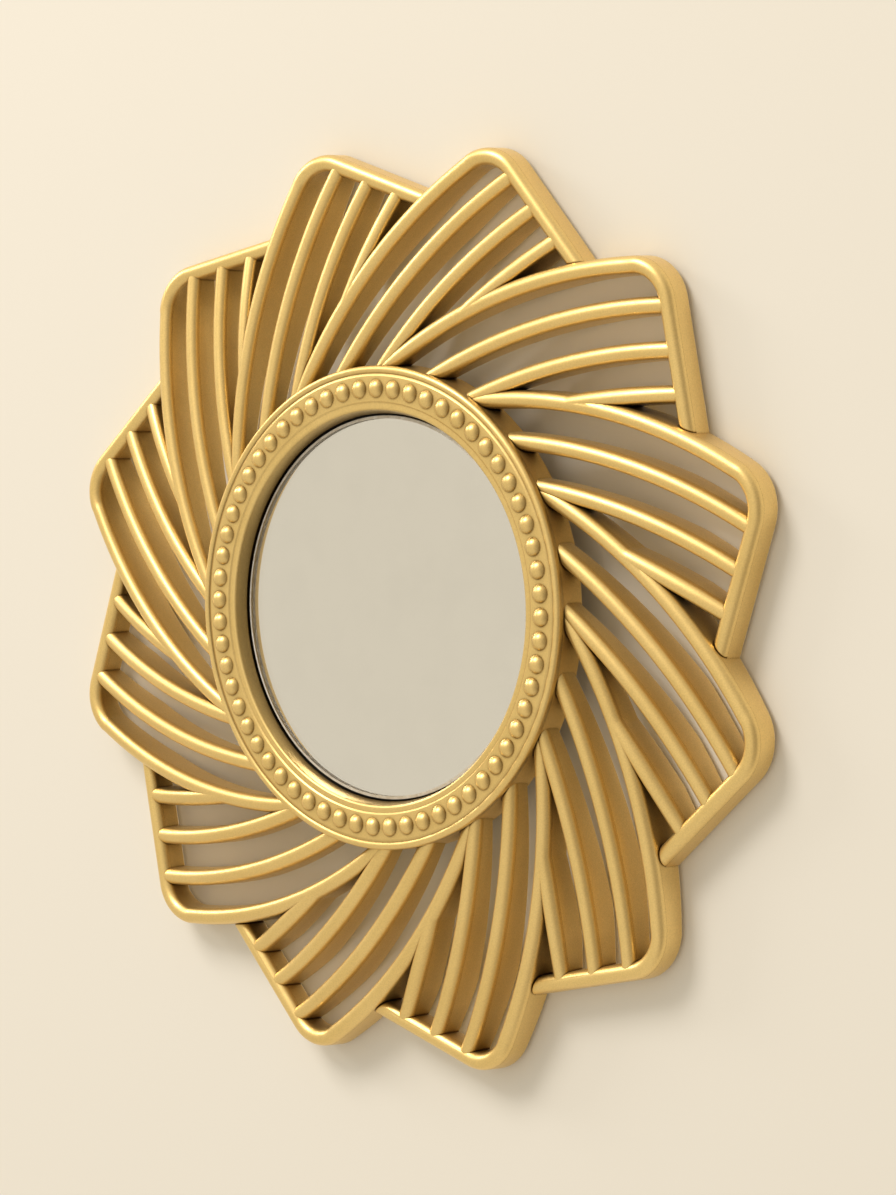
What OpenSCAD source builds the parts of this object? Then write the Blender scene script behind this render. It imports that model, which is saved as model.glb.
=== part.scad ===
// Sunburst wall mirror: a moulded shell of twelve swept petals, a beaded trim ring that laps over
// the shell's collar, and a mirror disc taped to a back plate that carries the keyhole hanger.
// Millimetres. The mirror stands upright: X to the right, Z up, the front faces -Y and the back
// rests on the wall plane y = 0.

/* [Overall] */

// Width across the frame over two opposite petals, measured along X
overall_width = 243.8; // [240:0.2:248]

/* [Mirror disc] */

// Diameter of the mirror disc
glass_diameter = 102.6; // [101:0.2:103.6]

// Thickness of the mirror disc
glass_thickness = 2; // [1.8:0.1:2.4]

// Height of the mirror face above the wall
glass_face_height = 12.4; // [12:0.1:12.8]

// Gap all round the mirror disc
glass_gap = 0.8; // [0.4:0.1:1]

/* [Beaded ring] */

// Height of the flat channel floor above the wall
channel_height = 16.7; // [16.4:0.1:17.4]

// Width of the flat channel that carries the beads
channel_width = 6.7; // [6.4:0.1:7.2]

// Radius of one bead where it stands on the channel floor
bead_radius = 2.5; // [2:0.05:2.6]

// Height of one bead above the channel floor
bead_height = 1.6; // [1:0.1:2.2]

// Number of beads round the ring
bead_count = 60; // [48:2:62]

// Radius of the half-round outer rim
rim_radius = 1.15; // [1:0.05:1.4]

// Radius of the rounded inner edge beside the mirror
lip_radius = 0.8; // [0.6:0.05:1.1]

/* [Ribs] */

// Radius of the half-round along the top of every rib
rib_radius = 2.25; // [2:0.05:2.5]

// Shoulder from the half-round out to the side wall
rib_shoulder = 0.05; // [0.05:0.05:0.4]

// Side wall thickness of the ribs
rib_wall = 1.1; // [0.9:0.05:1.3]

// Side wall draft in degrees
rib_draft = 2; // [1:0.25:3]

// Height of the rib axis where it leaves the ring
rib_height_inner = 12.1; // [11.6:0.1:12.5]

// Height of the rib axis along the straight outer edge
rib_height_edge = 5.3; // [5:0.1:6]

/* [Back plate] */

// Thickness of the back plate
plate_thickness = 1.8; // [1.5:0.1:2]

// Thickness of the double-sided foam tape under the mirror disc
tape_thickness = 0.6; // [0.4:0.1:0.8]

// Width of the tape ring
tape_width = 7; // [4:0.5:8]

// Number of back plate screws
screw_count = 4; // [3:1:6]

// Thread diameter of the back plate screws
screw_diameter = 2.2; // [2:0.1:2.4]

/* [Hanger] */

// Diameter of the keyhole's round hole
keyhole_diameter = 8; // [7:0.2:8.6]

// Width of the keyhole's slot
keyhole_slot = 4.2; // [3.6:0.1:4.6]

// Height of the keyhole's round hole above the centre of the mirror
hanger_height = 20; // [16:0.5:22]

// Sheet thickness of the hanger plate
hanger_sheet = 0.8; // [0.6:0.1:1]

/* [Hidden] */

$fn = 72;
gold = [0.80, 0.63, 0.30];
steel = [0.75, 0.75, 0.77];

// Plan of one petal about the mirror's centre, with its corner straight up. The plan scale sets
// the overall width.
petals = 12;
petal_turn = 15;
foot = rib_radius + rib_shoulder + rib_height_edge * tan(rib_draft);
u = (overall_width / 2 - foot) / (112 * cos(petal_turn) + 11);
corner = [0, 112 * u];
corner_round = 11 * u;
spine_bend = 143.9 * u;
spine_centre = [96.8 * u, 20.9 * u];
rib_bends = [164.1 * u, 166.3 * u, 210.6 * u];
rib_centres = [[124.7 * u, 5.7 * u], [135.9 * u, -2.3 * u], [175.4 * u, -41.3 * u]];
edge_fall = 32.8;

// Ring radii, from the mirror disc outwards.
well_draft = 0.6;
well_foot = glass_diameter / 2 + glass_gap;
well_mouth = well_foot + well_draft;
lip_axis = well_mouth + lip_radius;
lip_band = 1.2;
lip_step = 0.4;
channel_inner = lip_axis + lip_band + lip_step;
channel_outer = channel_inner + channel_width;
bead_circle = (channel_inner + channel_outer) / 2;
groove_width = 0.45;
rim_axis = channel_outer + groove_width + rim_radius;
ring_radius = rim_axis + rim_radius;

// The ring's seat on the back plate, set outwards from its inner edge, which overhangs it.
seat_inset = 1.2;
seat_width = 1.4;
seat_draft = 0.3;
seat_inner = well_foot + seat_inset;
seat_outer = seat_inner + seat_width;

// Ring heights above the wall, from the lip back to the underside.
lip_drop = 0.3;
groove_depth = 0.45;
rim_drop = 0.9;
ring_skin = 1.5;
rim_skirt = 0.5;
edge_clearance = 1.3;
bead_sink = 0.5;
lip_height = channel_height - lip_drop;
groove_floor = channel_height - groove_depth;
rim_height = channel_height - rim_drop;
skin_back = channel_height - ring_skin;
crease_height = skin_back - rim_skirt;
well_edge = glass_face_height + edge_clearance;

// Collar of the petal shell, which carries the ring and takes the back plate in a rebate.
collar_back = 7.8;
collar_inset = 0.35;
collar_flare = 0.7;
collar_wall = 1.4;
rebate_step = 1.7;
collar_top = ring_radius - collar_inset;
collar_foot = collar_top + collar_flare;
rebate_radius = collar_foot - collar_wall;
collar_inner = rebate_radius - rebate_step;

// Back plate, tape and screws.
plate_front = glass_face_height - glass_thickness - tape_thickness;
plate_back = plate_front - plate_thickness;
plate_gap = 0.4;
plate_radius = rebate_radius - plate_gap;
tape_inset = 1;
tape_outer = glass_diameter / 2 - tape_inset;
boss_circle = (seat_outer + seat_draft + collar_inner) / 2;
boss_wall = 1.3;
boss_radius = screw_diameter / 2 + boss_wall;
screw_clearance = 0.05;
screw_length = 6;
boss_bore = 4.6;
head_lap = 0.1;
head_radius = screw_diameter + head_lap;
head_height = 1.5;
drive_width = 0.6;
drive_depth = 0.7;

// Keyhole hanger: a tray pressed back from a riveted flange, over a window in the plate.
tray_depth = 1.4;
tray_margin = 5;
tray_width = keyhole_diameter + tray_margin;
tray_length = 22;
slot_rise = 8;
tray_centre = hanger_height + slot_rise / 2 - 1;
flange_margin = 5;
rivet_radius = 1.2;
rivet_head = 2.2;
rivet_head_height = 0.7;
rivet_offset = tray_length / 2 + flange_margin / 2;

// Rib section: half width at the shoulder, rise of the hollow above it, steps along each stretch.
rib_half = rib_radius + rib_shoulder;
cavity_rise = 0.4;
cord_steps = 4;
spine_steps = 4;
corner_steps = 4;
rib_steps = [4, 3, 2];

// Plan of the straight outer edge, and of the neighbouring petal's spine that it runs into.
joint_turn = atan2(corner[1] - spine_centre[1], corner[0] - spine_centre[0]);
edge_normal = 90 - edge_fall;
edge_side = [cos(edge_normal), sin(edge_normal)];
edge_dir = [cos(-edge_fall), sin(-edge_fall)];
edge_start = corner + corner_round * edge_side;
pitch = 360 / petals;
next_spine = [spine_centre[0] * cos(pitch) + spine_centre[1] * sin(pitch),
              -spine_centre[0] * sin(pitch) + spine_centre[1] * cos(pitch)];

// Where ribs and their hollows start and end.
collar_bite = 0.2;
collar_skin = 0.9;
back_rise = 0.7;
tip_bite = 0.35;
hollow_reach = 1;
rib_sink = 0.05;
rib_start = rebate_radius + collar_bite;
hollow_start = collar_foot + collar_skin;
back_flat = 102 * u;
back_inner = collar_back + back_rise;

// Height of the rib axis at distance r from the centre: a shallow dome from the ring outwards.
function dome(r) =
    let (x = (r - ring_radius) / u)
    rib_height_inner - u * (0.0873 * x + 0.000364 * x * x);

// Height of the ribs' back edge: level with the wall outside, rising towards the collar.
function back_edge(r) =
    r > back_flat ? 0 : back_inner * (back_flat - r) / (back_flat - collar_foot);

function on_bend(c, b, t) = c + b * [cos(t), sin(t)];

// Angle at which a bend about c with radius b crosses the circle of radius r about m.
function crossing(c, b, m, r) =
    let (v = m - c, d = norm(v), a = (b * b + d * d - r * r) / (2 * b * d))
    (atan2(v[1], v[0]) + 360) % 360 - acos(a);

// Angle at which a bend meets the straight outer edge, or a line beside it.
function edge_meeting(c, b, beside) =
    edge_normal + acos(((edge_start - c) * edge_side + beside) / b);

// Distance along the straight edge, x to its side, to a circle about the next spine's centre.
function edge_run(b, x) =
    let (v = edge_start + x * edge_side - next_spine, p = v * edge_dir, q = v * v - b * b)
    -p - sqrt(p * p - q);

// The spots of a section are [sideways offset, height, whether it is measured from the back edge].
// A petal's points are given along and across its straight edge, so that the edge comes out flat.
function spot_at(p, top, q) =
    [p * edge_dir, p * edge_side, (q[2] ? back_edge(norm(p)) : top) + q[1]];

// Spots round a rib: walls, shoulders and the half-round cord on top.
function outline(cord) = concat(
    [[-foot, 0, true], [-rib_half, 0, false]],
    [for (a = [0 : cord_steps]) let (t = 180 * a / cord_steps)
        [-cord * cos(t), cord * sin(t), false]],
    [[rib_half, 0, false], [foot, 0, true]]
);

// Spots round the channel inside a rib, which is open at the back.
function channel() = [
    [-foot + rib_wall, -hollow_reach, true],
    [-rib_half + rib_wall, cavity_rise, false],
    [rib_half - rib_wall, cavity_rise, false],
    [foot - rib_wall, -hollow_reach, true]
];

// Rows of points along a petal's spine, from the circle of radius start to its corner.
function spine_rows(spots, start) = [
    for (i = [0 : spine_steps]) [for (q = spots)
        let (b = spine_bend + q[0], t = crossing(spine_centre, b, [0, 0], start),
             p = on_bend(spine_centre, b, t + (joint_turn - t) * i / spine_steps))
        spot_at(p, dome(norm(p)), q)]
];

// Rows round the corner, which falls from the spine's height to the straight edge's.
function corner_rows(spots) =
    let (top = dome(norm(on_bend(spine_centre, spine_bend, joint_turn))))
    [for (i = [1 : corner_steps]) [for (q = spots)
        let (f = i / corner_steps, t = joint_turn + (edge_normal - joint_turn) * f,
             p = on_bend(corner, corner_round + q[0], t))
        spot_at(p, top + (rib_height_edge - top) * f, q)]];

// Row across the straight edge, a distance along it.
function edge_row(spots, run) = [
    for (q = spots) spot_at(edge_start + q[0] * edge_side + run * edge_dir, rib_height_edge, q)
];

// Last row of the straight edge, on a circle about the next spine's centre.
function edge_end(spots, b) = [
    for (q = spots)
        spot_at(edge_start + q[0] * edge_side + edge_run(b, q[0]) * edge_dir, rib_height_edge, q)
];

// Rows along an inner rib. It starts on the ring's circle or on the next spine, whichever lies
// further out, and ends at the straight edge, in its cord.
function rib_rows(i, spots, start, spine_side, beside) = [
    for (j = [0 : rib_steps[i]]) [for (q = spots)
        let (c = rib_centres[i], b = rib_bends[i] + q[0], f = j / rib_steps[i],
             from = min(crossing(c, b, [0, 0], start),
                        crossing(c, b, next_spine, spine_bend + spine_side)),
             to = edge_meeting(c, b, beside), end = on_bend(c, b, to),
             p = on_bend(c, b, from + (to - from) * f),
             fall = dome(norm(end)) - rib_height_edge + rib_sink)
        spot_at(p, dome(norm(p)) - fall * f * f, q)]
];

// Skins a row of outlines into one closed solid.
module skin(rows) {
    n = len(rows[0]);
    last = len(rows) - 1;
    points = [for (row = rows) for (p = row) p];
    sides = [for (j = [0 : last - 1]) for (i = [0 : n - 1])
        let (a = j * n + i, b = j * n + (i + 1) % n)
        for (f = [[a, b, b + n], [a, b + n, a + n]]) f];
    polyhedron(points, concat(sides, [[for (i = [0 : n - 1]) n - 1 - i]],
                              [[for (i = [0 : n - 1]) last * n + i]]));
}

module upright() {
    rotate([90, 0, 0]) children();
}

module round_petals() {
    for (k = [0 : petals - 1]) rotate([0, 0, -petal_turn - edge_fall - k * pitch]) children();
}

module petal() {
    body = outline(rib_radius);
    dome_start = edge_run(spine_bend + foot + rib_radius - tip_bite, 0);
    skin(concat(spine_rows(body, rib_start), corner_rows(body), [
        edge_row(body, dome_start),
        edge_row(outline(rib_radius * 0.75), dome_start + rib_radius * 0.66),
        edge_row(outline(rib_radius * 0.1), dome_start + rib_radius),
        edge_end(outline(rib_radius * 0.1), spine_bend + rib_half - rib_wall / 2)
    ]));
    for (i = [0 : 2]) skin(rib_rows(i, body, rib_start, 0, 0));
}

module petal_hollow() {
    body = channel();
    skin(concat(spine_rows(body, hollow_start), corner_rows(body),
                [edge_end(body, spine_bend + foot)]));
    for (i = [0 : 2]) skin(rib_rows(i, body, hollow_start, foot, -foot));
}

// The shell's collar: a wall round the ring's underside, with a rebate behind for the back plate.
module collar() {
    rotate_extrude($fn = 36) polygon([
        [collar_inner, skin_back],
        [collar_top, skin_back],
        [collar_foot, collar_back],
        [rebate_radius, collar_back],
        [rebate_radius, plate_front],
        [collar_inner, plate_front]
    ]);
}

module sunburst_rays() {
    color(gold) upright() resize([overall_width, overall_width, 0]) difference() {
        union() {
            round_petals() petal();
            collar();
        }
        round_petals() petal_hollow();
    }
}

// Section of the ring: seat, well wall, rounded lip and its band, flat channel, groove and rim.
module ring_section() {
    polygon([
        [seat_inner, plate_front],
        [seat_outer, plate_front],
        [seat_outer + seat_draft, skin_back],
        [collar_top, skin_back],
        [collar_top, crease_height],
        [ring_radius, crease_height],
        [ring_radius, rim_height],
        [rim_axis, rim_height],
        [rim_axis, groove_floor],
        [channel_outer + groove_width, groove_floor],
        [channel_outer, channel_height],
        [channel_inner, channel_height],
        [channel_inner - lip_step, lip_height],
        [lip_axis, lip_height],
        [well_mouth, lip_height - lip_radius],
        [well_foot, well_edge],
        [seat_inner, well_edge]
    ]);
    translate([lip_axis, lip_height - lip_radius]) circle(lip_radius);
    translate([rim_axis, rim_height]) intersection() {
        circle(rim_radius);
        translate([-rim_radius, 0]) square([2 * rim_radius, rim_radius]);
    }
}

// A spherical cap that stands on the channel floor and reaches a little way into it.
module bead() {
    ball = (bead_radius * bead_radius + bead_height * bead_height) / (2 * bead_height);
    rotate_extrude() intersection() {
        translate([0, bead_height - ball]) circle(ball);
        translate([0, -bead_sink]) square([bead_radius, bead_height + bead_sink]);
    }
}

module at_screws() {
    for (i = [0 : screw_count - 1])
        rotate([0, 0, 180 / screw_count + i * 360 / screw_count])
            translate([boss_circle, 0, 0]) children();
}

module beaded_ring() {
    color(gold) upright() difference() {
        union() {
            rotate_extrude() ring_section();
            for (i = [0 : bead_count - 1])
                rotate([0, 0, i * 360 / bead_count])
                    translate([bead_circle, 0, channel_height]) bead();
            at_screws() translate([0, 0, plate_front])
                cylinder(r = boss_radius, h = skin_back - plate_front + bead_sink);
        }
        at_screws() translate([0, 0, plate_front - 1])
            cylinder(r = screw_diameter / 2 + screw_clearance, h = boss_bore + 1);
    }
}

module mirror_glass() {
    chamfer = 0.3;
    r = glass_diameter / 2;
    back = glass_face_height - glass_thickness;
    color([0.85, 0.88, 0.88]) upright() rotate_extrude() polygon([
        [0, back],
        [r, back],
        [r, glass_face_height - chamfer],
        [r - chamfer, glass_face_height],
        [0, glass_face_height]
    ]);
}

module tape_ring() {
    color([0.93, 0.93, 0.90]) upright() rotate_extrude()
        translate([tape_outer - tape_width, plate_front]) square([tape_width, tape_thickness]);
}

// A slot outline along Y: w wide and l long, with round ends.
module slot(w, l) {
    square([w, l - w], center = true);
    for (s = [-1, 1]) translate([0, s * (l - w) / 2]) circle(d = w);
}

module at_rivets() {
    for (s = [-1, 1]) translate([0, tray_centre + s * rivet_offset, 0]) children();
}

module back_plate() {
    color([0.14, 0.13, 0.12]) upright() difference() {
        translate([0, 0, plate_back]) cylinder(r = plate_radius, h = plate_thickness);
        translate([0, tray_centre, plate_back - 1])
            linear_extrude(plate_thickness + 2) slot(tray_width - 2, tray_length - 2);
        at_screws() translate([0, 0, plate_back - 1])
            cylinder(r = screw_diameter / 2 + 4 * screw_clearance, h = plate_thickness + 2);
        at_rivets() translate([0, 0, plate_back - 1])
            cylinder(r = rivet_radius, h = plate_thickness + 2);
    }
}

module plate_screws() {
    color(steel) upright() at_screws() difference() {
        union() {
            translate([0, 0, plate_back - head_height]) cylinder(r = head_radius, h = head_height);
            translate([0, 0, plate_back - 0.1]) cylinder(d = screw_diameter, h = screw_length);
        }
        for (t = [0, 90]) rotate([0, 0, t])
            translate([-head_radius * 0.6, -drive_width / 2, plate_back - head_height - 1])
                cube([head_radius * 1.2, drive_width, drive_depth + 1]);
    }
}

module keyhole_hanger() {
    sheet_back = plate_back - hanger_sheet;
    color(steel) upright() difference() {
        translate([0, tray_centre, 0]) union() {
            translate([0, 0, sheet_back]) linear_extrude(hanger_sheet)
                slot(tray_width, tray_length + 2 * flange_margin);
            translate([0, 0, sheet_back - tray_depth]) linear_extrude(tray_depth + hanger_sheet)
                slot(tray_width - 2, tray_length - 2);
        }
        translate([0, tray_centre, sheet_back - tray_depth + hanger_sheet])
            linear_extrude(tray_depth + 1)
                slot(tray_width - 2 - 2 * hanger_sheet, tray_length - 2 - 2 * hanger_sheet);
        translate([0, hanger_height, sheet_back - tray_depth - 1])
            cylinder(d = keyhole_diameter, h = hanger_sheet + 2);
        translate([0, hanger_height, sheet_back - tray_depth - 1]) linear_extrude(hanger_sheet + 2) {
            translate([-keyhole_slot / 2, 0]) square([keyhole_slot, slot_rise]);
            translate([0, slot_rise]) circle(d = keyhole_slot);
        }
        at_rivets() translate([0, 0, sheet_back - 1])
            cylinder(r = rivet_radius, h = hanger_sheet + 2);
    }
}

// Tubular rivets, flared on the plate's front face.
module hanger_rivets() {
    bottom = plate_back - hanger_sheet;
    color(steel) upright() at_rivets() {
        translate([0, 0, bottom - rivet_head_height])
            cylinder(r = rivet_head, h = rivet_head_height);
        translate([0, 0, bottom - 0.1])
            cylinder(r = rivet_radius, h = hanger_sheet + plate_thickness + 0.2);
        translate([0, 0, plate_front])
            cylinder(r = rivet_radius + 0.5, h = tape_thickness - 0.2);
    }
}

sunburst_rays();
beaded_ring();
mirror_glass();
tape_ring();
back_plate();
plate_screws();
keyhole_hanger();
hanger_rivets();
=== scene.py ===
import math

import bmesh
import bpy
from mathutils import Matrix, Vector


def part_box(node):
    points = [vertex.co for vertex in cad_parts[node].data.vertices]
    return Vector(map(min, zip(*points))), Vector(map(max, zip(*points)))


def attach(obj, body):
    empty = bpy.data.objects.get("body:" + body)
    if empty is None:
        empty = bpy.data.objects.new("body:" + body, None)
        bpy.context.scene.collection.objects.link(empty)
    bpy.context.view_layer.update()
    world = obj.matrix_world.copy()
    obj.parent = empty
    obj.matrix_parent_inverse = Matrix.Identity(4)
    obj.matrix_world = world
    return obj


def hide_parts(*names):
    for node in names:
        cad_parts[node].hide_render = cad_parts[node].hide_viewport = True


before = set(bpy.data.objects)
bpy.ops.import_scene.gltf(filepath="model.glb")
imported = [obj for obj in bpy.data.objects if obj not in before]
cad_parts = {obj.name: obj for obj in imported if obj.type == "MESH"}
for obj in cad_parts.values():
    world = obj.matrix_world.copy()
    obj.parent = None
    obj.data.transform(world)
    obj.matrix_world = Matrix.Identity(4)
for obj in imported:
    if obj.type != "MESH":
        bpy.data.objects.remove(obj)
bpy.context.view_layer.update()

MM = 0.001
TAU = 2 * math.pi


def polar(radius, angle):
    return (radius * math.cos(angle), radius * math.sin(angle))


def add(a, b):
    return (a[0] + b[0], a[1] + b[1])


def sub(a, b):
    return (a[0] - b[0], a[1] - b[1])


def times(a, k):
    return (a[0] * k, a[1] * k)


def dot(a, b):
    return a[0] * b[0] + a[1] * b[1]


# Rib section, in millimetres like all sizes here. The rounding of its back edges is given as
# steps in from the side wall and up from the back.
RIB_HALF = 2.3
SHOULDER = 0.02
CORD = RIB_HALF - SHOULDER
RIB_WALL = 1.1
RIB_DRAFT = math.radians(2)
RIB_HEIGHT_INNER = 12.1
RIB_HEIGHT_EDGE = 5.3
RIB_SINK = 0.3
FOOT = RIB_HALF + RIB_HEIGHT_EDGE * math.tan(RIB_DRAFT)
BACK_ROUNDING = ((0.4, 0), (0.2, 0.05), (0.05, 0.2), (0, 0.4))

# Open channel inside a rib.
CAVITY_RISE = 0.4
CAVITY_BEVEL = 0.5
CAVITY_REACH = 1

# Plan of one petal about the mirror's centre, with its corner straight up. U is the length of a
# plan unit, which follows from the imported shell's width. RIBS has each inner rib's centre and bend.
rays_low, rays_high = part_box("sunburst_rays")
HALF_WIDTH = (rays_high[0] - rays_low[0]) / 2 / MM
PETALS = 12
PITCH = TAU / PETALS
CORNER_REACH = 112
CORNER_BEND = 11
U = (HALF_WIDTH - FOOT) / (CORNER_REACH * math.cos(PITCH / 2) + CORNER_BEND)
CORNER = (0, CORNER_REACH * U)
CORNER_ROUND = CORNER_BEND * U
SPINE_BEND = 143.9 * U
SPINE_CENTRE = (96.8 * U, 20.9 * U)
RIBS = [((124.7 * U, 5.7 * U), 164.1 * U), ((135.9 * U, -2.3 * U), 166.3 * U),
        ((175.4 * U, -41.3 * U), 210.6 * U)]
EDGE_FALL = math.radians(32.8)
BACK_FLAT = 102 * U
DOME_SLOPE = 0.0873
DOME_CURVE = 0.000364

# Straight edge of the petal, its blunt tip, and the next petal's spine, which it runs into.
NORMAL = math.pi / 2 - EDGE_FALL
SIDE = polar(1, NORMAL)
ALONG = polar(1, -EDGE_FALL)
EDGE_START = add(CORNER, times(SIDE, CORNER_ROUND))
JOINT_TURN = math.atan2(CORNER[1] - SPINE_CENTRE[1], CORNER[0] - SPINE_CENTRE[0])
NEXT_SPINE = (SPINE_CENTRE[0] * math.cos(PITCH) + SPINE_CENTRE[1] * math.sin(PITCH),
              -SPINE_CENTRE[0] * math.sin(PITCH) + SPINE_CENTRE[1] * math.cos(PITCH))
TIP_BLUNT = 0.8
TIP_BITE = 0.2
TIP_STEPS = 6

# Ring radii, outwards from the mirror disc.
glass_low, glass_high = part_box("mirror_glass")
ring_low, ring_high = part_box("beaded_ring")
GLASS_RADIUS = (glass_high[0] - glass_low[0]) / 2 / MM
GLASS_GAP = 0.8
WELL_DRAFT = 0.6
WELL_TOE_IN = 0.25
WELL_FOOT = GLASS_RADIUS + GLASS_GAP
WELL_MOUTH = WELL_FOOT + WELL_DRAFT
WELL_TOE = WELL_FOOT - WELL_TOE_IN
LIP_RADIUS = 0.8
LIP_AXIS = WELL_MOUTH + LIP_RADIUS
LIP_BAND = 1.2
LIP_STEP = 0.4
CHANNEL_WIDTH = 6.7
CHANNEL_INNER = LIP_AXIS + LIP_BAND + LIP_STEP
CHANNEL_OUTER = CHANNEL_INNER + CHANNEL_WIDTH
GROOVE_WIDTH = 0.7
RIM_RADIUS = 1.15
RING_RADIUS = (ring_high[0] - ring_low[0]) / 2 / MM
RIM_AXIS = RING_RADIUS - RIM_RADIUS
SEAT_INSET = 1.2
SEAT_WIDTH = 1.4
SEAT_DRAFT = 0.3
SEAT_INNER = WELL_FOOT + SEAT_INSET
SEAT_OUTER = SEAT_INNER + SEAT_WIDTH

# Beads on the channel. Their tips are tiny flats, so that every row is a ring.
BEAD_RADIUS = 2.5
BEAD_HEIGHT = 1.6
BEAD_COUNT = 60
BEAD_SINK = 0.5
BEAD_TIP = 0.02
BEAD_CIRCLE = (CHANNEL_INNER + CHANNEL_OUTER) / 2

# Ring heights above the wall, and the small roundings on its corners.
LIP_DROP = 0.3
GROOVE_DEPTH = 0.2
RIM_DROP = 0.9
RING_SKIN = 1.5
RIM_SKIRT = 0.5
EDGE_CLEARANCE = 0.1
CHANNEL_HEIGHT = -ring_low[1] / MM - BEAD_HEIGHT
LIP_HEIGHT = CHANNEL_HEIGHT - LIP_DROP
GROOVE_FLOOR = CHANNEL_HEIGHT - GROOVE_DEPTH
RIM_HEIGHT = CHANNEL_HEIGHT - RIM_DROP
SKIN_BACK = CHANNEL_HEIGHT - RING_SKIN
CREASE_HEIGHT = SKIN_BACK - RIM_SKIRT
WELL_EDGE = -glass_low[1] / MM + EDGE_CLEARANCE
RING_ROUND = 0.15
CHANNEL_INSET = 0.05
WELL_ROUND = 0.2

# Collar of the petal shell, and where ribs and their channels start on it.
COLLAR_BACK = 7.8
COLLAR_INSET = 0.35
COLLAR_FLARE = 0.7
COLLAR_WALL = 1.4
REBATE_STEP = 1.7
COLLAR_TOP = RING_RADIUS - COLLAR_INSET
COLLAR_FOOT = COLLAR_TOP + COLLAR_FLARE
REBATE = COLLAR_FOOT - COLLAR_WALL
COLLAR_INNER = REBATE - REBATE_STEP
PLATE_FRONT = -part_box("back_plate")[0][1] / MM
COLLAR_BITE = 0.2
COLLAR_SKIN = 0.9
BACK_RISE = 0.7
RIB_START = REBATE + COLLAR_BITE
HOLLOW_START = COLLAR_FOOT + COLLAR_SKIN
BACK_INNER = COLLAR_BACK + BACK_RISE

# Mirror disc: silver above its back, a seam ground round its face, and the coat on its back. A
# face's slot follows from how far it looks to the front.
SILVER_RISE = 0.5
SEAM_DEPTH = 0.3
SEAM_WIDTH = 0.8
BACKING_INSET = 0.1
BACKING_GAP = 0.02
FLAT_FACING = 0.99
SEAM_FACING = 0.1


def dome(r):
    """Height of the rib axis at distance r from the centre."""
    x = (r - RING_RADIUS) / U
    return RIB_HEIGHT_INNER - U * (DOME_SLOPE * x + DOME_CURVE * x * x)


def back_edge(r):
    """Height of the ribs' back edge at distance r from the centre."""
    return 0 if r > BACK_FLAT else BACK_INNER * (BACK_FLAT - r) / (BACK_FLAT - COLLAR_FOOT)


def crossing(c, b, m, r):
    """Angle at which a bend about c with radius b crosses the circle of radius r about m."""
    v = sub(m, c)
    d = math.hypot(*v)
    a = (b * b + d * d - r * r) / (2 * b * d)
    return math.atan2(v[1], v[0]) % TAU - math.acos(a)


def edge_meeting(c, b, beside):
    """Angle at which a bend meets the straight edge, or a line beside it."""
    return NORMAL + math.acos((dot(sub(EDGE_START, c), SIDE) + beside) / b)


def edge_run(b, x):
    """Distance along the straight edge, x to its side, to a circle about the next spine's centre."""
    v = sub(add(EDGE_START, times(SIDE, x)), NEXT_SPINE)
    p = dot(v, ALONG)
    return -p - math.sqrt(p * p - dot(v, v) + b * b)


def mirrored(left):
    """The same spots on the other side of a section, in the order that carries on round it."""
    return [(-x, z, back) for x, z, back in reversed(left)]


def outline(cord=CORD, steps=16):
    """Spots round a rib: (sideways offset, height, measured from the back edge)."""
    turns = [math.pi * i / steps for i in range(steps + 1)]
    half_round = [(-cord * math.cos(t), cord * math.sin(t), False) for t in turns]
    left = [(-FOOT + x, z, True) for x, z in BACK_ROUNDING]
    left.append((-RIB_HALF, 0, False))
    return left + half_round + mirrored(left)


def channel():
    """Spots round the open channel inside a rib."""
    left = [(-FOOT + RIB_WALL, -CAVITY_REACH, True),
            (-RIB_HALF + RIB_WALL, CAVITY_RISE - CAVITY_BEVEL, False),
            (-RIB_HALF + RIB_WALL + CAVITY_BEVEL, CAVITY_RISE, False)]
    return left + mirrored(left)


def spot_at(p, top, spot):
    """Point in metres for a section's spot at p in the plan, where the rib axis is at height top."""
    h = (back_edge(math.hypot(*p)) if spot[2] else top) + spot[1]
    return (p[0] * MM, -h * MM, p[1] * MM)


def spine_rows(spots, start, steps=44):
    """Rows along a petal's spine, from the circle of radius start to its corner."""
    rows = []
    for i in range(steps + 1):
        row = []
        for spot in spots:
            b = SPINE_BEND + spot[0]
            t = crossing(SPINE_CENTRE, b, (0, 0), start)
            p = add(SPINE_CENTRE, polar(b, t + (JOINT_TURN - t) * i / steps))
            row.append(spot_at(p, dome(math.hypot(*p)), spot))
        rows.append(row)
    return rows


def corner_rows(spots, steps=16):
    """Rows round the corner, which falls from the spine's height to the straight edge's."""
    top = dome(math.hypot(*add(SPINE_CENTRE, polar(SPINE_BEND, JOINT_TURN))))
    rows = []
    for i in range(1, steps + 1):
        f = i / steps
        t = JOINT_TURN + (NORMAL - JOINT_TURN) * f
        h = top + (RIB_HEIGHT_EDGE - top) * f
        rows.append([spot_at(add(CORNER, polar(CORNER_ROUND + s[0], t)), h, s) for s in spots])
    return rows


def edge_end(spots, b):
    """Row across the straight edge, on a circle of radius b about the next spine's centre."""
    return [spot_at(add(EDGE_START, add(times(SIDE, s[0]), times(ALONG, edge_run(b, s[0])))),
                    RIB_HEIGHT_EDGE, s) for s in spots]


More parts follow.
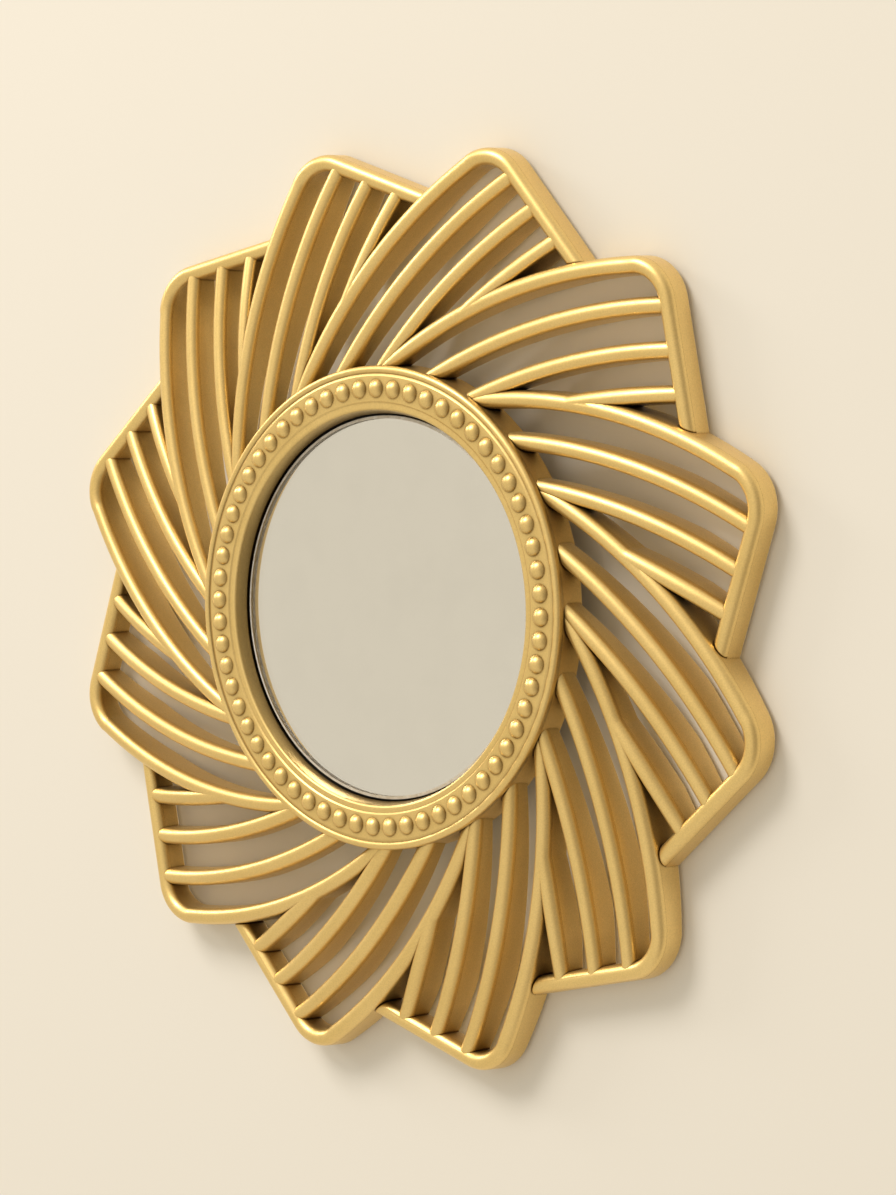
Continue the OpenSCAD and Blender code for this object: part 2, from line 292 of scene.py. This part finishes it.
def rib_rows(rib, spots, start, spine_side, beside, steps=36):
    """Rows along an inner rib, which starts on the ring's circle or on the next spine, whichever
    lies further out, and sinks into the straight edge."""
    centre, bend = rib
    rows = []
    for j in range(steps + 1):
        f = j / steps
        row = []
        for spot in spots:
            b = bend + spot[0]
            first = min(crossing(centre, b, (0, 0), start),
                        crossing(centre, b, NEXT_SPINE, SPINE_BEND + spine_side))
            last = edge_meeting(centre, b, beside)
            end = add(centre, polar(b, last))
            p = add(centre, polar(b, first + (last - first) * f))
            fall = dome(math.hypot(*end)) - RIB_HEIGHT_EDGE + RIB_SINK
            row.append(spot_at(p, dome(math.hypot(*p)) - fall * f * f, spot))
        rows.append(row)
    return rows


def new_object(name, verts, faces):
    mesh = bpy.data.meshes.new(name)
    mesh.from_pydata(verts, [], faces)
    mesh.validate()
    mesh.update()
    obj = bpy.data.objects.new(name, mesh)
    bpy.context.scene.collection.objects.link(obj)
    return obj


def face_outwards(obj):
    bm = bmesh.new()
    bm.from_mesh(obj.data)
    bmesh.ops.recalc_face_normals(bm, faces=bm.faces)
    bm.to_mesh(obj.data)
    bm.free()


def skin(name, rows, closed=False):
    """Joins rows of points into a closed solid, or a ring where closed is true."""
    n = len(rows[0])
    verts = [p for row in rows for p in row]
    faces = []
    count = len(rows)
    for j in range(count if closed else count - 1):
        k = (j + 1) % count
        for i in range(n):
            faces.append((j * n + i, j * n + (i + 1) % n, k * n + (i + 1) % n, k * n + i))
    if not closed:
        faces.append(tuple(reversed(range(n))))
        faces.append(tuple(range((count - 1) * n, count * n)))
    obj = new_object(name, verts, faces)
    face_outwards(obj)
    return obj


def combine(obj, other, operation):
    """Boolean of two solids, applied to the first; the second goes."""
    modifier = obj.modifiers.new("combine", "BOOLEAN")
    modifier.operation = operation
    modifier.solver = "MANIFOLD"
    modifier.object = other
    graph = bpy.context.evaluated_depsgraph_get()
    mesh = bpy.data.meshes.new_from_object(obj.evaluated_get(graph))
    obj.modifiers.remove(modifier)
    old = obj.data
    obj.data = mesh
    bpy.data.meshes.remove(old)
    bpy.data.objects.remove(other)


def turned_copy(obj, angle):
    """A copy turned about the mirror's axis, clockwise as seen from the front."""
    copy = obj.copy()
    copy.data = obj.data.copy()
    copy.data.transform(Matrix.Rotation(angle, 4, "Y"))
    bpy.context.scene.collection.objects.link(copy)
    return copy


def all_round(obj, count, first):
    """Union of count copies of a solid, turned evenly about the mirror's axis."""
    obj.data.transform(Matrix.Rotation(first, 4, "Y"))
    whole = turned_copy(obj, 0)
    for k in range(1, count):
        combine(whole, turned_copy(obj, k * TAU / count), "UNION")
    bpy.data.objects.remove(obj)
    return whole


def spaced_round(obj, count):
    """One mesh of count copies of a solid that don't touch, turned about the mirror's axis."""
    bm = bmesh.new()
    for k in range(count):
        mesh = obj.data.copy()
        mesh.transform(Matrix.Rotation(k * TAU / count, 4, "Y"))
        bm.from_mesh(mesh)
        bpy.data.meshes.remove(mesh)
    bm.to_mesh(obj.data)
    bm.free()
    return obj


def turned_point(r, h, turn):
    """Point in metres at radius r and height h above the wall, turned about the mirror's axis."""
    return (r * math.cos(turn) * MM, -h * MM, r * math.sin(turn) * MM)


def revolve(name, section, steps=360):
    """A ring about the mirror's axis."""
    turns = [TAU * i / steps for i in range(steps)]
    return skin(name, [[turned_point(r, h, t) for r, h in section] for t in turns], closed=True)


def disc(name, section, steps=240):
    """A round plate about the mirror's axis, from the back of its section to the front."""
    turns = [TAU * i / steps for i in range(steps)]
    obj = skin(name, [[turned_point(r, h, t) for t in turns] for r, h in section])
    smooth(obj, 20)
    return obj


def smooth(obj, angle):
    """Smooth shading, with sharp edges where faces turn by more than the angle in degrees."""
    mesh = obj.data
    mesh.polygons.foreach_set("use_smooth", [True] * len(mesh.polygons))
    mesh.set_sharp_from_angle(angle=math.radians(angle))
    mesh.update()


def make_petal():
    """One petal as a solid: its spine, corner and straight edge, and the three ribs within."""
    body = outline()
    rows = spine_rows(body, RIB_START) + corner_rows(body)
    for i in range(TIP_STEPS + 1):
        a = math.pi / 2 * i / TIP_STEPS
        cord = outline(CORD - TIP_BLUNT * (1 - math.cos(a)))
        rows.append(edge_end(cord, SPINE_BEND + RIB_HALF - TIP_BITE + TIP_BLUNT * (1 - math.sin(a))))
    rows.append(edge_end(outline(CORD - TIP_BLUNT), SPINE_BEND + RIB_HALF - RIB_WALL / 2))
    petal = skin("petal", rows)
    for rib in RIBS:
        combine(petal, skin("rib", rib_rows(rib, body, RIB_START, 0, 0)), "UNION")
    return petal


def make_petal_hollow():
    """The open channels of one petal's ribs, as a solid to be cut away."""
    body = channel()
    rows = spine_rows(body, HOLLOW_START) + corner_rows(body)
    rows.append(edge_end(body, SPINE_BEND + FOOT))
    hollow = skin("hollow", rows)
    for rib in RIBS:
        rib_hollow = skin("rib_hollow", rib_rows(rib, body, HOLLOW_START, FOOT, -FOOT))
        combine(hollow, rib_hollow, "UNION")
    return hollow


def make_rays():
    """The shell of twelve petals and their collar, with an open channel behind every rib."""
    rays = all_round(make_petal(), PETALS, PITCH / 2)
    collar = revolve("collar", [(COLLAR_INNER, SKIN_BACK), (COLLAR_TOP, SKIN_BACK),
                                (COLLAR_FOOT, COLLAR_BACK), (REBATE, COLLAR_BACK),
                                (REBATE, PLATE_FRONT), (COLLAR_INNER, PLATE_FRONT)])
    combine(rays, collar, "UNION")
    combine(rays, all_round(make_petal_hollow(), PETALS, PITCH / 2), "DIFFERENCE")
    rays.name = "swept_rays"
    smooth(rays, 32)
    return rays


def arc(x, h, r, start, end, steps=18):
    """Section points round an arc."""
    return [(x + r * math.cos(start + (end - start) * i / steps),
             h + r * math.sin(start + (end - start) * i / steps)) for i in range(steps + 1)]


def make_bead(steps=16, sides=48):
    """A spherical cap that stands on the channel floor and reaches a little way into it."""
    ball = (BEAD_RADIUS ** 2 + BEAD_HEIGHT ** 2) / (2 * BEAD_HEIGHT)
    open_turn = math.asin(BEAD_RADIUS / ball)
    section = [(BEAD_RADIUS, -BEAD_SINK)]
    for i in range(steps + 1):
        a = open_turn * (1 - i / steps)
        section.append((max(ball * math.sin(a), BEAD_TIP), ball * math.cos(a) - ball + BEAD_HEIGHT))
    turns = [TAU * k / sides for k in range(sides)]
    return skin("bead", [[((BEAD_CIRCLE + r * math.cos(t)) * MM, -(CHANNEL_HEIGHT + h) * MM,
                           r * math.sin(t) * MM) for t in turns] for r, h in section])


def make_ring():
    """The trim ring, its section drawn from the seat outwards, over the rim and back to the well."""
    groove_turn = math.pi - math.asin((GROOVE_FLOOR - RIM_HEIGHT) / RIM_RADIUS)
    step_turn = math.pi * 0.8
    well_turn = math.pi * 0.97
    corner_height = CHANNEL_HEIGHT - RING_ROUND
    section = [(SEAT_INNER, PLATE_FRONT), (SEAT_OUTER, PLATE_FRONT),
               (SEAT_OUTER + SEAT_DRAFT, SKIN_BACK), (COLLAR_TOP, SKIN_BACK),
               (COLLAR_TOP, CREASE_HEIGHT)]
    section += arc(RING_RADIUS - RING_ROUND, CREASE_HEIGHT + RING_ROUND, RING_ROUND,
                   -math.pi / 2, 0, 4)
    section += arc(RIM_AXIS, RIM_HEIGHT, RIM_RADIUS, 0, groove_turn)
    section += [(CHANNEL_OUTER + GROOVE_WIDTH, GROOVE_FLOOR)]
    section += arc(CHANNEL_OUTER - CHANNEL_INSET, corner_height, RING_ROUND,
                   math.pi / 4, math.pi / 2, 3)
    section += arc(CHANNEL_INNER + CHANNEL_INSET, corner_height, RING_ROUND,
                   math.pi / 2, step_turn, 3)
    section += [(CHANNEL_INNER - LIP_STEP, LIP_HEIGHT), (LIP_AXIS + LIP_BAND / 2, LIP_HEIGHT)]
    section += arc(LIP_AXIS, LIP_HEIGHT - LIP_RADIUS, LIP_RADIUS, math.pi / 2, well_turn, 12)
    section += arc(WELL_TOE + WELL_ROUND, WELL_EDGE + WELL_ROUND, WELL_ROUND,
                   math.pi, math.pi * 1.5, 4)
    section += [(SEAT_INNER, WELL_EDGE)]
    ring = revolve("ring", section)
    combine(ring, spaced_round(make_bead(), BEAD_COUNT), "UNION")
    ring.name = "ring_with_beads"
    smooth(ring, 28)
    return ring


def glass_slot(front):
    """Slot of a face of the disc: its face, the ground seam, the rim or the silvered back."""
    if front > FLAT_FACING:
        return 0
    if front > SEAM_FACING:
        return 1
    return 2 if front > -FLAT_FACING else 3


def make_mirror():
    """Clear glass with a ground seam, a plain tan rim and silver, and the coat behind it."""
    r = GLASS_RADIUS
    back, face = -glass_high[1] / MM, -glass_low[1] / MM
    silver = back + SILVER_RISE
    glass = disc("mirror_disc", [(r, silver), (r, face - SEAM_DEPTH), (r - SEAM_WIDTH, face)])
    # The rim of the disc is a plain tan, lighter in patches.
    tan_rim = dull_plastic("tan_glass_rim", (0.80, 0.62, 0.34), (0.92, 0.74, 0.44), 0.6)
    for material in (clear_glass("clear_glass"), ground_edge("ground_edge"), tan_rim,
                     mirror_silver("silver")):
        glass.data.materials.append(material)
    for polygon in glass.data.polygons:
        polygon.material_index = glass_slot(-polygon.normal.y)
    coat = r - BACKING_INSET
    return glass, disc("mirror_backing", [(coat, back), (coat, silver - BACKING_GAP)])


def new_material(name):
    material = bpy.data.materials.new(name)
    material.use_nodes = True
    tree = material.node_tree
    return material, tree, tree.nodes["Principled BSDF"]


def noise(tree, scale, detail):
    node = tree.nodes.new("ShaderNodeTexNoise")
    node.inputs["Scale"].default_value = scale
    node.inputs["Detail"].default_value = detail
    node.inputs["Roughness"].default_value = 0.55
    coords = tree.nodes.new("ShaderNodeTexCoord").outputs["Object"]
    tree.links.new(coords, node.inputs["Vector"])
    return node.outputs["Fac"]


def ramp(tree, value, stops):
    """Colours, or greys where a stop has a plain number, at their places along a value."""
    node = tree.nodes.new("ShaderNodeValToRGB")
    tree.links.new(value, node.inputs["Fac"])
    elements = node.color_ramp.elements
    while len(elements) < len(stops):
        elements.new(0.5)
    for element, (position, colour) in zip(elements, stops):
        element.position = position
        element.color = (*colour, 1) if isinstance(colour, tuple) else (colour, colour, colour, 1)
    return node.outputs["Color"]


def multiply(tree, a, b):
    """Product of two colours. The mix node has its colours on sockets 6 and 7, and 2 is its result."""
    node = tree.nodes.new("ShaderNodeMix")
    node.data_type = "RGBA"
    node.blend_type = "MULTIPLY"
    node.inputs["Factor"].default_value = 1.0
    tree.links.new(a, node.inputs[6])
    tree.links.new(b, node.inputs[7])
    return node.outputs[2]


def bump(tree, height, distance, strength=1.0, normal=None):
    node = tree.nodes.new("ShaderNodeBump")
    node.inputs["Distance"].default_value = distance
    node.inputs["Strength"].default_value = strength
    tree.links.new(height, node.inputs["Height"])
    if normal:
        tree.links.new(normal, node.inputs["Normal"])
    return node.outputs["Normal"]


def openness(tree, reach):
    """1 where nothing is near, falling to 0 deep in a crease or hollow."""
    node = tree.nodes.new("ShaderNodeAmbientOcclusion")
    node.inputs["Distance"].default_value = reach
    node.samples = 6
    return node.outputs["AO"]


def gold_paint_and_shade(name, hollow):
    """Satin metallic gold paint: fine grain and faint blotches, with painted shade that browns and
    darkens it in hollows and creases.
    """
    material, tree, shader = new_material(name)
    blotch = ramp(tree, noise(tree, scale=38, detail=3),
                  [(0.35, (0.88, 0.63, 0.235)), (0.65, (0.92, 0.67, 0.265))])
    # Painted shade: the gold turns brown and dark where things within 9 mm close it in.
    deep = ramp(tree, openness(tree, 9 * MM), hollow)
    # Painted shade: a thin dark line where surfaces meet within 0.6 mm, round the beads' feet and in
    # creases.
    foot_painted_shade = ramp(tree, openness(tree, 0.6 * MM), [(0.55, (0.34, 0.26, 0.16)), (0.95, (1, 1, 1))])
    flake = ramp(tree, noise(tree, scale=2400, detail=2), [(0.35, 0.90), (0.65, 1.0)])
    paint = multiply(tree, multiply(tree, blotch, flake), multiply(tree, deep, foot_painted_shade))
    tree.links.new(paint, shader.inputs["Base Color"])
    shader.inputs["Metallic"].default_value = 0.92
    shader.inputs["Coat Weight"].default_value = 0.25
    shader.inputs["Coat Roughness"].default_value = 0.36
    rough = ramp(tree, noise(tree, scale=900, detail=3), [(0.3, 0.35), (0.7, 0.43)])
    tree.links.new(rough, shader.inputs["Roughness"])
    grain = bump(tree, noise(tree, scale=3800, detail=2), 0.012 * MM, strength=0.8)
    waves = bump(tree, noise(tree, scale=260, detail=2), 0.03 * MM, strength=0.5, normal=grain)
    tree.links.new(waves, shader.inputs["Normal"])
    return material


def clear_glass(name):
    """Float glass with the faintest haze of dust."""
    material, tree, shader = new_material(name)
    shader.inputs["Base Color"].default_value = (0.97, 0.97, 0.96, 1)
    shader.inputs["Transmission Weight"].default_value = 1.0
    shader.inputs["IOR"].default_value = 1.52
    haze = ramp(tree, noise(tree, scale=60, detail=6), [(0.45, 0.0), (0.8, 0.03)])
    tree.links.new(haze, shader.inputs["Roughness"])
    return material


def ground_edge(name):
    """Seam of the glass, ground matt and unevenly pale."""
    material, tree, shader = new_material(name)
    matt = ramp(tree, noise(tree, scale=700, detail=4),
                [(0.35, (0.72, 0.66, 0.56)), (0.7, (0.93, 0.91, 0.86))])
    tree.links.new(matt, shader.inputs["Base Color"])
    shader.inputs["Roughness"].default_value = 0.6
    return material


def mirror_silver(name):
    """Silvering on the back of the glass."""
    material, tree, shader = new_material(name)
    tarnish = ramp(tree, noise(tree, scale=60, detail=6),
                   [(0.45, (0.91, 0.895, 0.88)), (0.8, (0.88, 0.865, 0.85))])
    tree.links.new(tarnish, shader.inputs["Base Color"])
    shader.inputs["Metallic"].default_value = 1.0
    shader.inputs["Roughness"].default_value = 0.02
    return material


def dull_plastic(name, dark, light, rough):
    """A dull, finely pitted surface between two shades, for plastic, foam and paint."""
    material, tree, shader = new_material(name)
    shade = ramp(tree, noise(tree, scale=120, detail=5), [(0.35, dark), (0.7, light)])
    tree.links.new(shade, shader.inputs["Base Color"])
    shader.inputs["Roughness"].default_value = rough
    pits = bump(tree, noise(tree, scale=2200, detail=3), 0.04 * MM)
    tree.links.new(pits, shader.inputs["Normal"])
    return material


def zinc_plate(name, tint, rough):
    """Plated steel, duller in patches."""
    material, tree, shader = new_material(name)
    dull = tuple(c * 0.86 for c in tint)
    plate = ramp(tree, noise(tree, scale=240, detail=5), [(0.35, dull), (0.7, tint)])
    tree.links.new(plate, shader.inputs["Base Color"])
    shader.inputs["Metallic"].default_value = 1.0
    patches = ramp(tree, noise(tree, scale=500, detail=4), [(0.3, rough), (0.7, rough + 0.12)])
    tree.links.new(patches, shader.inputs["Roughness"])
    grain = bump(tree, noise(tree, scale=3000, detail=2), 0.01 * MM)
    tree.links.new(grain, shader.inputs["Normal"])
    return material


def wall_paint():
    """Pale wall, seen only from the front, so that the mirror shows from behind as well."""
    material, tree, shader = new_material("wall_paint")
    shader.inputs["Base Color"].default_value = (0.80, 0.765, 0.70, 1)
    shader.inputs["Roughness"].default_value = 0.9
    geometry = tree.nodes.new("ShaderNodeNewGeometry")
    clear = tree.nodes.new("ShaderNodeBsdfTransparent")
    choose = tree.nodes.new("ShaderNodeMixShader")
    output = tree.nodes["Material Output"]
    tree.links.new(geometry.outputs["Backfacing"], choose.inputs["Fac"])
    tree.links.new(shader.outputs[0], choose.inputs[1])
    tree.links.new(clear.outputs[0], choose.inputs[2])
    tree.links.new(choose.outputs[0], output.inputs["Surface"])
    return material


def make_wall():
    """A plain wall just behind the mirror. It casts no shadow, so the lamp behind lights the back."""
    size = 4.0
    face = 1.5 * MM
    wall = new_object("wall", [(-size, face, -size), (size, face, -size),
                               (size, face, size), (-size, face, size)], [(0, 1, 2, 3)])
    wall.data.materials.append(wall_paint())
    wall.visible_shadow = False


def make_light(name, location, size, power, colour):
    """A square lamp that faces the mirror's centre."""
    data = bpy.data.lights.new(name, "AREA")
    data.size = size
    data.energy = power
    data.color = colour
    obj = bpy.data.objects.new(name, data)
    obj.location = location
    direction = -obj.location
    obj.rotation_euler = direction.to_track_quat("-Z", "Y").to_euler()
    bpy.context.scene.collection.objects.link(obj)


def make_world():
    """A soft room, brightest a little left of the middle and dimmest at the right."""
    world = bpy.data.worlds.new("studio")
    bpy.context.scene.world = world
    world.use_nodes = True
    tree = world.node_tree
    coords = tree.nodes.new("ShaderNodeTexCoord")
    split = tree.nodes.new("ShaderNodeSeparateXYZ")
    tree.links.new(coords.outputs["Generated"], split.inputs[0])
    across = tree.nodes.new("ShaderNodeMapRange")
    across.inputs["From Min"].default_value = -1
    tree.links.new(split.outputs["X"], across.inputs["Value"])
    room = ramp(tree, across.outputs["Result"],
                [(0.22, (0.73, 0.67, 0.54)), (0.4, (0.82, 0.76, 0.65)),
                 (0.68, (0.76, 0.70, 0.60)), (0.88, (0.38, 0.335, 0.27))])
    tree.links.new(room, tree.nodes["Background"].inputs["Color"])


def make_camera():
    """The photograph's camera, as fitted to it."""
    data = bpy.data.cameras.new("camera")
    focal_px = 4102.6
    frame_height_px = 1195
    data.sensor_width = 36
    data.lens = focal_px / frame_height_px * data.sensor_width
    obj = bpy.data.objects.new("camera", data)
    obj.location = (0.7450, -0.8141, 0.0570)
    pitch, roll, yaw = -2.834, -0.458, 42.048
    obj.rotation_euler = (math.radians(90 + pitch), math.radians(roll), math.radians(yaw))
    bpy.context.scene.collection.objects.link(obj)
    bpy.context.scene.camera = obj


def dress(node, material):
    """Gives a CAD piece its material."""
    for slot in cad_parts[node].material_slots:
        slot.material = material


def stand_in(obj, node, material=None):
    """Shows a visual piece in place of a node, in its own materials where none is given."""
    if material:
        obj.data.materials.clear()
        obj.data.materials.append(material)
    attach(obj, "root")
    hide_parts(node)


rays = make_rays()
# Painted shade: how brown and dark the rays turn deep in their hollows.
rays_painted_shade = [(0.12, (0.28, 0.24, 0.17)), (0.72, (1, 1, 1))]
stand_in(rays, "sunburst_rays", gold_paint_and_shade("gold_rays_paint_and_shade", rays_painted_shade))
ring = make_ring()
# Painted shade: how brown and dark the ring turns deep in its hollows, darker than on the rays.
ring_painted_shade = [(0.45, (0.17, 0.14, 0.09)), (0.9, (1, 1, 1))]
stand_in(ring, "beaded_ring", gold_paint_and_shade("gold_ring_paint_and_shade", ring_painted_shade))
glass, backing = make_mirror()
backing_paint = dull_plastic("backing_paint", (0.16, 0.13, 0.11), (0.22, 0.18, 0.15), 0.6)
stand_in(backing, "mirror_glass", backing_paint)
stand_in(glass, "mirror_glass")
dress("tape_ring", dull_plastic("foam_tape", (0.62, 0.62, 0.58), (0.70, 0.70, 0.66), 0.8))
dress("back_plate", dull_plastic("black_plate", (0.012, 0.011, 0.010), (0.022, 0.020, 0.018), 0.55))
dress("plate_screws", zinc_plate("zinc_screws", (0.62, 0.62, 0.64), 0.28))
dress("keyhole_hanger", zinc_plate("zinc_hanger", (0.58, 0.59, 0.61), 0.34))
dress("hanger_rivets", zinc_plate("rivet_metal", (0.66, 0.66, 0.66), 0.3))
make_wall()
make_world()
make_light("key", (-0.79, -1.53, 1.82), size=0.95, power=35, colour=(1.0, 0.95, 0.88))
make_light("window", (-2.15, -0.72, 1.05), size=0.6, power=12, colour=(1.0, 0.97, 0.92))
make_light("back_fill", (-0.55, 1.9, 0.1), size=0.95, power=13, colour=(1.0, 0.97, 0.93))
make_camera()

bpy.context.scene.view_settings.view_transform = "Standard"
